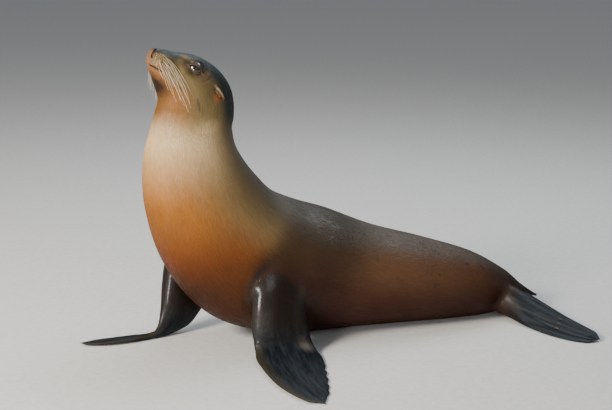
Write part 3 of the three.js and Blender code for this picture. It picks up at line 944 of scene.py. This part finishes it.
def coat_finish(name, relief=True):
    """Wet, short fur lying flat, with the bare skin of the flippers."""
    f = Finish(name)
    lie = f.mark("lie", True)
    hand = f.mark("hand", True)
    place = f.place()
    blotch = f.noise(place, 9, 3)
    streak = f.noise(f.stretched(lie, (9, 42, 42)), 3.0, 4, 0.6, 0.3)
    fine = f.noise(f.stretched(lie, (22, 190, 190)), 3.0, 2, 0.6)
    ray = f.noise(f.stretched(hand, (6, 60, 30)), 2.0, 3, 0.6)
    bare = f.mark("bare")
    colour = f.mix(f.mark("olive"), srgb(*CHEST), srgb(*OLIVE))
    colour = f.layers(f.mix(f.mark("chest"), srgb(*BACK), colour), FUR_LAYERS)
    colour = f.mix(streak.within(0.3, 0.7, 0, 0.3), colour, (0.6, 0.55, 0.5), "MULTIPLY")
    colour = f.mix(blotch.within(0.35, 0.7, 0, 0.35), colour, (1.5, 1.42, 1.35), "MULTIPLY")
    colour = f.mix(fine.within(0.35, 0.75, 0, 0.25), colour, (1.35, 1.3, 1.25), "MULTIPLY")
    spots = f.cells(place, 55).within(0.12, 0.3, 1, 0) * f.noise(place, 14).within(0.46, 0.58)
    colour = f.mix(spots * f.mark("spots") * 0.75, colour, (0.03, 0.018, 0.014))
    # the arms' dark brown, which also lies on the body round them as painted shade
    colour = f.mix(f.mark("arm"), colour, srgb(*ARM_AND_SHADE))
    skin = f.mix(ray.within(0.35, 0.75), srgb(*LIMB), srgb(*LIMB_SHEEN))
    colour = f.layers(f.mix(bare, colour, skin), SKIN_LAYERS)
    rough = streak.within(0.3, 0.7, 0.4, 0.56) + fine.within(0.3, 0.7, -0.04, 0.06)
    rough = rough + f.mark("socket") * 0.2
    rough = rough * (1 - bare) + bare * ray.within(0.3, 0.7, 0.42, 0.6)
    wet = f.noise(place, 16, 2).within(0.35, 0.65, 0.02, 0.1)
    wet = wet * (1 - f.mark("face") * 0.8) * (1 - bare)
    shine = f.mark("shine") * f.cells(place, 240).within(0.25, 0.6, 1, 0.55)
    # painted shade: the locks a little darker, so that they don't look lighter than the bumped skin
    if not relief:
        colour = f.mix(1.0, colour, (0.95, 0.95, 0.95), "MULTIPLY")
    f.set(Base_Color=colour, Roughness=rough, Coat_Weight=wet + shine, Coat_Roughness=0.19,
          Specular_IOR_Level=0.19)
    if relief:
        under = f.bump(streak * (1 - bare) + ray * bare * 0.5, 0.0013)
        under = f.bump(fine * (1 - bare * 0.7), 0.0005, under)
        f.set(Normal=f.bump(f.noise(place, 330, 2), 0.00025, under))
    return f.material


def eye_finish():
    """A dark wet eye with a brown ring round the pupil."""
    f = Finish("wet_eye")
    turn = f.mark("gaze")
    ray = f.noise(f.stretched(f.mark("around", True), (1, 1, 0.3)), 14, 3)
    iris = f.mix(ray.within(0.3, 0.7), srgb(22, 12, 8), srgb(48, 26, 16))
    colour = f.mix(turn.within(13, 17), srgb(4, 3, 3), iris)
    colour = f.mix(turn.within(32, 39), colour, srgb(12, 7, 5))
    colour = f.mix(turn.within(46, 56), colour, srgb(60, 36, 30))
    f.set(Base_Color=colour, Roughness=turn.within(34, 50, 0.05, 0.16), Coat_Weight=1.0,
          Coat_Roughness=0.02)
    return f.material


def nail_finish():
    f = Finish("nail_horn")
    place = f.place()
    line = f.noise(f.stretched(place, (260, 90, 260)), 3, 3)
    f.set(Base_Color=f.mix(line.within(0.3, 0.7), srgb(34, 28, 24), srgb(78, 66, 54)),
          Roughness=line.within(0.3, 0.7, 0.26, 0.44), Normal=f.bump(line, 0.0003))
    return f.material


def whisker_finish():
    f = Finish("whisker")
    place = f.place()
    line = f.noise(place, 120, 2)
    tip = f.mark("tip")
    colour = f.mix(tip, srgb(176, 150, 112), srgb(236, 222, 190))
    f.set(Base_Color=f.mix(line.within(0.3, 0.7, 0, 0.4), colour, (0.7, 0.64, 0.55), "MULTIPLY"),
          Roughness=line.within(0.3, 0.7, 0.28, 0.4))
    return f.material


# ---------------------------------------------------------------- where each colour lies
# lines on the side of the neck, each from one place to another, forward and up of the head's midpoint
NECK_WRINKLES = (((-27, -66), (-33, -80)), ((-35, -70), (-43, -90)), ((-44, -78), (-50, -92)))
FORE_ROOTS = (-137, -385)                 # x of the front edge of the left and of the right arm
FAR_ARM_SHINE = 0.35


def coat_marks(points, base):
    """The coat's broad zones, by place along the body, by how far round it and by height, painted shade and
    sheen among them.
    """
    station, height = base["station"], points[:, 2]
    belly = -unit(base["lie"][:, 1:])[:, 1]
    face = smoothstep(NECK_TOP - 0.6, NECK_TOP + 1.5, station)
    fore = smoothstep(6.0, 8.0, station)
    return {
        "chest": smoothstep(-1.0, 0.4, belly + 0.12 * (station - 8)) * smoothstep(5.2, 7.8, station),
        # the neck's lighter tan, brightened further as a painted highlight
        "pale_and_highlight": 0.9 * bell((station - 11.4) / 2.4) * smoothstep(-0.8, 0.1, belly),
        "olive": (1 - smoothstep(-0.1, 0.75, belly)) * fore * 0.8,
        # painted shade: the chest darker and redder towards its underside
        "under": (1 - smoothstep(215, 420, height)) * smoothstep(-0.4, 0.3, belly) * fore,
        # painted shade: darker still low on the front half
        "deep": (1 - smoothstep(110, 270, height)) * smoothstep(-0.2, 0.5, belly) * fore,
        # the back's top greyer: countershading, and a painted sheen
        "dorsal_grey_and_sheen": smoothstep(0.5, 0.9, -belly) * (1 - face) * 0.65,
        # painted shade: darker towards the floor all round
        "low": (1 - smoothstep(30, 200, height)) * 0.85,
        # painted sheen: a lighter band along the middle of the flank
        "side": (1 - smoothstep(5.0, 6.5, station)) * bell((belly + 0.25) / 0.7) * 0.7,
        "flank": (1 - fore) * smoothstep(-0.8, 0.2, belly),
        "rear": 1 - smoothstep(2.2, 6.2, station + 0.8 * belly),
        "throat": face * smoothstep(-0.1, 0.6, belly),
        "cheek": face * (1 - smoothstep(0.3, 0.8, belly)),
        "crown": face * (1 - smoothstep(-0.75, -0.35, belly)),
        "spots": 1 - smoothstep(5, 6.5, station),
        "face": face,
    }


def from_oval(places, centre, sizes):
    """How far places lie from an oval's centre, as a share of its half sizes."""
    return length_of((places - np.array(centre)) / sizes)


def side_marks(local, radius, outside, above):
    """Marks that lie alike on both sides of the head, for places mirrored to the left side, with painted
    shade along the nostrils and in the ears' slits.
    """
    near = radius < EYE_ZONE
    slit = catmull(NOSTRIL, np.linspace(0, len(NOSTRIL) - 1, 20))
    gap = np.min(length_of(local[:, None] - slit), axis=1)
    at = local - EAR_AT
    droop = math.radians(EAR["droop"])
    along = at[:, 0] * math.cos(droop) + at[:, 2] * math.sin(droop)
    high = at[:, 2] * math.cos(droop) - at[:, 0] * math.sin(droop)
    inside = (np.abs(along) < 22) & (np.abs(at[:, 1]) < 14)
    return {
        "rim": near * bell((outside - 0.2) / 1.5) * np.where(above < 0, 0.75, 0.12),
        "socket": near * (1 - smoothstep(1.5, 9, outside)) * np.where(above < 0, 0.7, 0.85),
        "brow": 0.7 * bell(from_oval(local, (30, 30, 16), (20, 30, 9))),
        # painted shade along the nostril
        "dark": 1 - smoothstep(2.6, 5.0, gap),
        "ear": bell((high - 3.5) / 5) * smoothstep(-20, -12, along) * inside,
        # painted shade in the ear's slit
        "ear_slit_shade": bell((high + 3) / 3.5) * (np.abs(along) < 15) * inside,
        "ear_root": bell(from_oval(at, (-2, 0, -13), (22, 16, 13))),
    }


def neck_wrinkles(local):
    strength = np.zeros(len(local))
    for start, end in NECK_WRINKLES:
        way = np.subtract(end, start)
        away = local[:, [0, 2]] - start
        t = np.clip((away @ way) / (way @ way), 0, 1)
        gap = length_of(away - t[:, None] * way)
        strength = np.maximum(strength, bell(gap / 2.6) * (np.abs(local[:, 1]) > 50))
    return strength


def face_marks(points, local, roots):
    """Lips, nose, eyes, ears and the spots that the whiskers grow from, with painted shade before the eyes,
    in the neck's wrinkles and along the mouth.
    """
    forward, height = local[:, 0], local[:, 2]
    below = height - mouth_height(forward)
    marks = {
        "chin": smoothstep(20, 60, forward) * (1 - smoothstep(-30, -6, below)),
        "lip": smoothstep(48, 74, forward) * bell((below - 9) / 16) * 0.8,
        "lower_lip": smoothstep(66, 84, forward) * bell((below + 7) / 6) * 0.8,
        "nose": smoothstep(98, 106, forward) * smoothstep(-38, -26, height),
        "nose_top": smoothstep(92, 100, forward) * smoothstep(-6, 3, height),
        # painted shade in the dip in front of the eyes
        "hollow_shade": 0.6 * bell(from_oval(folded(local), (50, 38, -3), (22, 34, 14))),
        # painted shade in the neck's wrinkles
        "wrinkle_shade": 0.5 * neck_wrinkles(local),
        "follicle": np.zeros(len(points)),
    }
    left, right = (side_marks(mirrored(local, side), *around_eye(points, side)[1:]) for side in (1, -1))
    marks.update({name: np.maximum(left[name], right[name]) for name in left})
    # painted shade along the mouth's line
    mouth = bell((below + 0.6) / 2.6) * smoothstep(10, 20, forward)
    marks["dark"] = np.clip(mouth + marks["dark"], 0, 1)
    muzzle = np.flatnonzero(from_oval(local, (80, 0, -22), (50, 90, 45)) < 1)
    gap = np.min(length_of(points[muzzle][:, None] - roots), axis=1)
    marks["follicle"][muzzle] = 1 - smoothstep(0.8, 2.6, gap)
    return marks


def limb_marks(points, base, upward):
    """Bare skin, wet streaks and folds of the flippers, with painted shade in the folds and on the body
    round them.
    """
    limb, share, across = base["limb"], base["hand"][:, 3], base["hand"][:, 4]
    front = base["station"] > FORE_FROM
    upper_arm = np.where(front, smoothstep(0.12, 0.2, share) * (1 - smoothstep(0.5, 0.6, share)), 0)
    wet = np.maximum(bell((across - 0.18) / 0.26), 0.5 * bell((across - 0.8) / 0.14))
    past = points[:, 0] - np.where(base["which"] < 0.5, *FORE_ROOTS)
    root = bell((limb - 0.4) / 0.4) * front * (share < 0.45)
    upper = limb * front * smoothstep(-0.1, 0.3, upward)
    return {
        "bare": limb * np.where(front, smoothstep(0.44, 0.6, share), smoothstep(0.12, 0.4, share)),
        # the arms' dark brown, and painted shade on the body next to the flippers
        "arm": np.maximum(limb, base["near_limb_shade"] * 0.78) * np.where(front, 1, 0.5),
        "limb": limb,
        "shine": limb * upper_arm * wet * np.where(base["which"] == 1, FAR_ARM_SHINE, 1),
        # painted shade in the fold where the arm meets the chest
        "crease_shade": root * (1 - smoothstep(24, 56, past)) * 0.85,
        # painted shade in the fold at the wrist
        "wrist": upper * bell((share - WRIST - 0.005) / 0.03) * 0.6,
        "lobe": upper * bell(np.hypot((share - WRIST - 0.03) / 0.06, (across - 0.84) / 0.16)),
        "border": upper * smoothstep(WRIST - 0.02, WRIST + 0.05, share) * bell(across / 0.2),
    }


def paint_marks(skin, base, roots):
    """Keeps on the skin where each colour lies, and where and how its locks grow."""
    points = points_of(skin)
    marks = coat_marks(points, base)
    marks.update(face_marks(points, to_head(points), roots))
    marks.update(limb_marks(points, base, normals_of(skin)[:, 2]))
    eyes = np.full(len(points), 99.0)
    for side in (1, -1):
        _, radius, outside, _ = around_eye(points, side)
        eyes = np.where(radius < EYE_ZONE, np.minimum(eyes, outside), eyes)
    furry = (1 - smoothstep(0.25, 0.7, marks["bare"])) * smoothstep(3, 7, eyes) * (1 - marks["dark"])
    furry *= 1 - smoothstep(0.2, 0.6, marks["nose"])
    low = smoothstep(2, 8, points[:, 2]) * (1 - smoothstep(0.4, 0.8, base["limb"]))
    marks["furry"] = furry * low
    marks["lock"] = np.interp(base["station"], *LOCK_LENGTHS) * (1 - 0.35 * marks["lip"]) * 0.001
    marks["lie"] = base["lie"] * 0.001
    marks["hand"] = base["hand"][:, :3] * 0.001
    for name in ("station", "which", "flow"):
        marks[name] = base[name]
    for name, values in marks.items():
        paint(skin, name, values)


# ---------------------------------------------------------------- eyes, whiskers and tufts
def eyeball(side):
    """A ball with the front of the eye bulging a little, looking outwards and forwards."""
    rings, sides = 56, 64
    turn = np.linspace(0.012, math.pi - 0.012, rings)[:, None]
    round_ = turns(sides)[None]
    radius = EYE_RADIUS - 0.25 + 1.1 * bell(np.degrees(turn) / 42)
    axis = toward(*GAZE)
    first = unit(np.cross(axis, [0, 0, 1.0]))
    second = np.cross(axis, first)
    ring = first * np.cos(round_)[..., None] + second * np.sin(round_)[..., None]
    heading = axis * np.cos(turn)[..., None] + ring * np.sin(turn)[..., None]
    places = np.vstack([(heading * radius[..., None]).reshape(-1, 3), axis * radius[0], -axis * radius[-1]])
    obj = make_mesh("eyeball_" + ("left" if side > 0 else "right"),
                    from_head(mirrored(EYE_AT + places, side)), grid_faces(rings, sides))
    fix_normals(obj)
    degrees = np.degrees(np.broadcast_to(turn, (rings, sides)).ravel())
    paint(obj, "gaze", np.r_[degrees, 0, 180])
    paint(obj, "around", np.vstack([ring.repeat(rings, 0).reshape(-1, 3), axis, axis]))
    return obj


class Growth:
    """A Geometry Nodes tree that is built here, run once and turned into a plain mesh."""

    def __init__(self, name, inputs):
        self.tree = bpy.data.node_groups.new(name, "GeometryNodeTree")
        face = self.tree.interface
        face.new_socket("Geometry", in_out="INPUT", socket_type="NodeSocketGeometry")
        for label, kind in inputs:
            face.new_socket(label, in_out="INPUT", socket_type=kind)
        face.new_socket("Geometry", in_out="OUTPUT", socket_type="NodeSocketGeometry")
        self.given = self.tree.nodes.new("NodeGroupInput").outputs
        self.result = self.tree.nodes.new("NodeGroupOutput").inputs[0]

    def node(self, kind, settings=None, sockets=None, output=0):
        made = self.tree.nodes.new(kind)
        for key, value in (settings or {}).items():
            setattr(made, key, value)
        for key, value in (sockets or {}).items():
            if isinstance(value, bpy.types.NodeSocket):
                self.tree.links.new(value, made.inputs[key])
            else:
                made.inputs[key].default_value = value
        return made.outputs[output]

    def attribute(self, name, kind="FLOAT"):
        return self.node("GeometryNodeInputNamedAttribute", {"data_type": kind}, {"Name": name})

    def times(self, first, second):
        return self.node("ShaderNodeMath", {"operation": "MULTIPLY"}, {0: first, 1: second})

    def finished(self, geometry):
        """Ends the tree with plain geometry in the given material."""
        mesh = self.node("GeometryNodeRealizeInstances", None, {"Geometry": geometry})
        mesh = self.node("GeometryNodeSetMaterial", None,
                         {"Geometry": mesh, "Material": self.given["Material"]})
        self.tree.links.new(mesh, self.result)
        return self

    def grow(self, obj, name, **values):
        """Runs the tree on an object with these inputs, and gives back the finished mesh as a new piece."""
        modifier = obj.modifiers.new(name, "NODES")
        modifier.node_group = self.tree
        for item in self.tree.interface.items_tree:
            if item.in_out == "INPUT" and item.name.lower() in values:
                modifier[item.identifier] = values[item.name.lower()]
        obj.update_tag()
        graph = bpy.context.evaluated_depsgraph_get()
        mesh = bpy.data.meshes.new_from_object(obj.evaluated_get(graph))
        obj.modifiers.remove(modifier)
        return add_object(name, mesh)


def whisker_tree():
    g = Growth("whisker_growth", [("Thickness", "NodeSocketFloat"), ("Material", "NodeSocketMaterial")])
    curve = g.node("GeometryNodeMeshToCurve", None, {0: g.given["Geometry"]})
    radius = g.times(g.attribute("thick"), g.given["Thickness"])
    curve = g.node("GeometryNodeSetCurveRadius", None, {"Curve": curve, "Radius": radius})
    profile = g.node("GeometryNodeCurvePrimitiveCircle", None, {"Resolution": 6, "Radius": 1.0})
    mesh = g.node("GeometryNodeCurveToMesh", None,
                  {"Curve": curve, "Profile Curve": profile, "Scale": radius, "Fill Caps": True})
    return g.finished(mesh)


WHISKER_ROWS = 6
WHISKER_LENGTH = {1: (18, 118), -1: (92, 128)}
WHISKER_SWEEP = {1: (-0.64, 0.22, -0.73), -1: (-0.48, 0.14, -0.87)}
WHISKER_RISE = {1: 0.62, -1: 0.1}         # how far each side stands out from the pad
WHISKER_STEPS = 16
WHISKER_THICKNESS = 0.00062               # at the root, in metres


def whisker_paths(surface, side):
    """Rows of whiskers on the pad: short ones in front, long ones behind, swept back and down."""
    chance = np.random.default_rng(SEED + side)
    paths = []
    for row in range(WHISKER_ROWS):
        count = 6 + (row in (1, 2, 3, 4)) + (row in (2, 3))
        for k in range(count):
            back = k / (count - 1)
            place = np.array([100 - 37 * back - 1.0 * row, 60, -3 - 5.6 * row - 6 * back])
            place += chance.normal(0, 1.1, 3)
            spot, normal = surface.cast(from_head(mirrored(place, side)), HEAD_AXES[1] * -side)
            length = np.interp(back**0.8, (0, 1), WHISKER_LENGTH[side])
            middle = math.sin(math.pi * (row + 0.5) / WHISKER_ROWS)
            length *= (0.8 + 0.2 * middle) * chance.uniform(0.78, 1.06)
            start = mirrored(to_head(HEAD_AT + normal), side) * WHISKER_RISE[side]
            start = unit(start + [-0.5 - 0.3 * back, 0.1, -0.5])
            end = unit(np.array(WHISKER_SWEEP[side]) + [0, 0.05 * row, 0] + chance.normal(0, 0.07, 3))
            t = np.linspace(0, 1, WHISKER_STEPS)[:, None]
            lead = start * 0.36 * length
            line = 2 * t * (1 - t) * lead + t**2 * (lead + end * 0.68 * length) - start * 1.5
            paths.append(spot + (from_head(mirrored(line, side)) - HEAD_AT))
    return paths


def whiskers(paths, side):
    steps = WHISKER_STEPS
    edges = [(i * steps + k, i * steps + k + 1) for i in range(len(paths)) for k in range(steps - 1)]
    lines = make_mesh("whisker_lines", np.vstack(paths), [], edges)
    t = np.tile(np.linspace(0, 1, steps), len(paths))
    paint(lines, "thick", 1 - 0.78 * t)
    paint(lines, "tip", t)
    name = "whiskers_" + ("left" if side > 0 else "right")
    piece = whisker_tree().grow(lines, name, thickness=WHISKER_THICKNESS, material=whisker_finish())
    bpy.data.objects.remove(lines)
    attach(piece, "root")


# ---------------------------------------------------------------- fur
LOCK_LENGTHS = ((1, 3, 6, 9, 11, 12.5, 16, 20), (11, 13, 13, 11, 9.5, 7.5, 6, 4))
LOCK_WIDTH = 0.11                         # as shares of a lock's length
LOCK_THICK = 0.016
LOCKS_EACH = 15400                        # in each piece of the coat
FUR_BANDS = (("head", 11.6, 99), ("neck", 8.8, 11.6), ("chest", 6.2, 8.8), ("back", 3.6, 6.2),
             ("rear", -1, 3.6))
PATCH = 0.003                             # size of a lock on the coat's unwrapped map
TRUNK_RUN = 1.52                          # what the map holds of the body pulled straight, in metres
LIMB_RUN, LIMB_WIDTH = 0.9, 0.24          # and of each flipper laid flat


def lock_shape():
    """One flat lock of fur, a unit long, lying along +X with its root just under the skin."""
    half, tall = LOCK_WIDTH / 2, LOCK_THICK
    points = [(0, 0, -0.4 * tall)]
    for x, wide, base, top in ((0.3, 1, -0.2, 0.8), (0.7, 0.8, 0.1, 1.0)):
        points += [(x, -half * wide, base * tall), (x, half * wide, base * tall), (x, 0, top * tall)]
    points.append((1, 0, 0.1 * tall))
    faces = [(0, 2, 1), (0, 3, 2), (0, 1, 3)]
    for a, b in ((1, 2), (2, 3), (3, 1)):
        faces += [(a, b, b + 3), (a, b + 3, a + 3)]
    faces += [(4, 5, 7), (5, 6, 7), (6, 4, 7)]
    mesh = bpy.data.meshes.new("lock")
    mesh.from_pydata(points, [], faces)
    obj = add_object("lock", mesh)
    fix_normals(obj)
    flat = np.array(points)
    paint(obj, "patch", np.column_stack([flat[:, 0] - 0.5, flat[:, 1] / (2 * half), 0 * flat[:, 0]]) * PATCH)
    return obj


def fur_tree():
    g = Growth("fur_growth", [("Lock", "NodeSocketObject"), ("Density", "NodeSocketFloat"),
                              ("From", "NodeSocketFloat"), ("To", "NodeSocketFloat"),
                              ("Seed", "NodeSocketInt"), ("Material", "NodeSocketMaterial")])
    station = g.attribute("station")
    after = g.node("FunctionNodeCompare", {"operation": "GREATER_EQUAL"}, {0: station, 1: g.given["From"]})
    before = g.node("FunctionNodeCompare", {"operation": "LESS_THAN"}, {0: station, 1: g.given["To"]})
    inside = g.times(after, before)
    density = g.times(g.times(g.attribute("furry"), inside), g.given["Density"])
    values = {"Mesh": g.given["Geometry"], "Density": density, "Seed": g.given["Seed"]}
    points = g.node("GeometryNodeDistributePointsOnFaces", None, values)
    facing = points.node.outputs["Normal"]
    turn = g.node("FunctionNodeAxesToRotation", {"primary_axis": "Z", "secondary_axis": "X"},
                  {0: facing, 1: g.attribute("flow", "FLOAT_VECTOR")})
    sway = g.node("FunctionNodeRandomValue", {"data_type": "FLOAT_VECTOR"},
                  {"Min": (0.0, -0.02, -0.12), "Max": (0.0, 0.0, 0.12), "Seed": 3})
    turn = g.node("FunctionNodeRotateRotation", {"rotation_space": "LOCAL"}, {0: turn, 1: sway})
    vary = g.node("FunctionNodeRandomValue", {"data_type": "FLOAT"}, {2: 0.65, 3: 1.25, "Seed": 5}, 1)
    size = g.times(g.attribute("lock"), vary)
    lock = g.node("GeometryNodeObjectInfo", None, {"Object": g.given["Lock"]}, "Geometry")
    locks = g.node("GeometryNodeInstanceOnPoints", None,
                   {"Points": points, "Instance": lock, "Rotation": turn, "Scale": size})
    return g.finished(locks)


def read_mark(mesh, name, width=1):
    return read_all(mesh.attributes[name].data, "vector" if width == 3 else "value", width, np.float32)


def lay_out_patches(piece):
    """The coat's unwrapped map: each lock is a small patch at its root's place on the skin laid flat."""
    mesh = piece.data
    lie, hand, patch = (read_mark(mesh, name, 3) for name in ("lie", "hand", "patch"))
    limb, which = read_mark(mesh, "limb"), read_mark(mesh, "which")
    round_ = (np.arctan2(lie[:, 1], lie[:, 2]) / (2 * math.pi)) % 1
    trunk = np.stack([0.02 + 0.96 * lie[:, 0] / TRUNK_RUN, 0.02 + 0.6 * round_], -1)
    u = 0.02 + 0.24 * np.round(which) + 0.2 * hand[:, 0] / LIMB_RUN
    v = 0.66 + 0.14 * (hand[:, 1] / LIMB_WIDTH + 0.5) + 0.16 * (hand[:, 2] > 0)
    flat = np.where((limb > 0.5)[:, None], np.stack([u, v], -1), trunk) + patch[:, :2]
    loops = read_all(mesh.loops, "vertex_index", 1, int)
    layer = mesh.uv_layers.new(name="OFBake")
    layer.uv.foreach_set("vector", np.clip(flat, 0.001, 0.999)[loops].astype(np.float32).ravel())


def grow_fur(skin, material):
    mesh = skin.data
    areas = read_all(mesh.polygons, "area")
    corner = read_all(mesh.polygons, "loop_start", 1, int)
    first = read_all(mesh.loops, "vertex_index", 1, int)[corner]
    furry, station = read_mark(mesh, "furry")[first], read_mark(mesh, "station")[first]
    tree, lock = fur_tree(), lock_shape()
    for number, (name, start, end) in enumerate(FUR_BANDS):
        inside = (station >= start) & (station < end)
        density = LOCKS_EACH / float((areas * furry * inside).sum())
        values = {"lock": lock, "density": density, "from": float(start), "to": float(end)}
        piece = tree.grow(skin, "fur_" + name, seed=SEED + number, material=material, **values)
        lay_out_patches(piece)
        piece.data.shade_flat()
        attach(piece, "root")
    bpy.data.objects.remove(lock)


# ---------------------------------------------------------------- stage
VIEW_FROM = (0, -3396.04, 1181.73)
VIEW_AT = (0, 0, 335)
LENS = 77.69
SKY_COLOUR = (0.82, 0.87, 0.95)
SKY_STRENGTH = 0.3


def add_camera():
    camera = bpy.data.cameras.new("camera")
    camera.lens = LENS
    camera.sensor_width = 36
    camera.clip_start = 0.05
    obj = add_object("camera", camera)
    start, end = Vector(metres(VIEW_FROM)), Vector(metres(VIEW_AT))
    obj.location = start
    obj.rotation_euler = (end - start).to_track_quat("-Z", "Y").to_euler()
    bpy.context.scene.camera = obj


def add_light(name, place, aim, size, power, colour):
    light = bpy.data.lights.new(name, "AREA")
    light.shape = "ELLIPSE"
    light.size, light.size_y = size
    light.energy = power
    light.color = colour
    obj = add_object(name, light)
    obj.location = place
    obj.rotation_euler = (Vector(aim) - Vector(place)).to_track_quat("-Z", "Y").to_euler()


def add_stage():
    size = 40.0
    floor = bpy.data.meshes.new("floor")
    corners = [(-size, -size, 0), (size, -size, 0), (size, size, 0), (-size, size, 0)]
    floor.from_pydata(corners, [], [(0, 1, 2, 3)])
    obj = add_object("floor", floor)
    f = Finish("floor_paper")
    place = f.place()
    grain = f.noise(place, 60, 3)
    f.set(Base_Color=f.mix(grain.within(0.3, 0.7), (0.60, 0.59, 0.57), (0.66, 0.65, 0.63)),
          Roughness=0.85)
    floor.materials.append(f.material)
    world = bpy.data.worlds.new("studio")
    world.use_nodes = True
    glow = world.node_tree.nodes["Background"].inputs
    glow["Color"].default_value = (*SKY_COLOUR, 1)
    glow["Strength"].default_value = SKY_STRENGTH
    bpy.context.scene.world = world
    add_light("key", (-2.9, -1.9, 2.4), (-0.2, 0, 0.4), (1.3, 1.3), 250, (1, 0.94, 0.84))
    add_light("fill", (1.4, -3.4, 1.9), (0.1, 0, 0.3), (2.4, 1.6), 14, (0.95, 0.97, 1))
    add_light("edge", (-1.4, -2.35, 0.45), (-0.1, -0.2, 0.12), (0.55, 0.55), 40, (1, 0.97, 0.92))
    add_light("top", (0.6, 1.5, 2.6), (0, 0, 0.3), (3, 1.2), 60, (0.84, 0.92, 1))


# ---------------------------------------------------------------- putting it together
SHARP_FROM = 55                           # edges bent by more degrees than this stay crisp


def finish_piece(obj, material):
    obj.data.materials.clear()
    obj.data.materials.append(material)
    obj.data.shade_smooth()
    obj.data.set_sharp_from_angle(angle=math.radians(SHARP_FROM))
    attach(obj, "root")


FLESH = ("head", "jaw", "nose", "neck", "chest", "belly", "rump", "tail", "ear_left", "ear_right",
         "fore_flipper_left", "fore_flipper_right", "hind_flipper_left", "hind_flipper_right")

add_camera()
add_stage()
skin, base = build_skin()
set_points(skin, shape_lids(points_of(skin)))
set_points(skin, shape_lips(points_of(skin), normals_of(skin)))
before = Surface(skin)
cut_openings(skin)
_, _, read = before.nearest(points_of(skin))
base = {name: read(values) for name, values in base.items()}
face = Surface(skin)
growing = {side: whisker_paths(face, side) for side in (1, -1)}
paint_marks(skin, base, np.array([path[0] for side in growing for path in growing[side]]))
finish_piece(skin, coat_finish("wet_coat"))
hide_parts(*FLESH)

wet_eye = eye_finish()
for side, word in ((1, "left"), (-1, "right")):
    ball = eyeball(side)
    finish_piece(ball, wet_eye)
    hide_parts("eye_" + word)
    whiskers(growing[side], side)
grow_fur(skin, coat_finish("wet_fur", False))
horn = nail_finish()
for name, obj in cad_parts.items():
    if "nail" in name:
        for place in obj.material_slots:
            place.material = horn
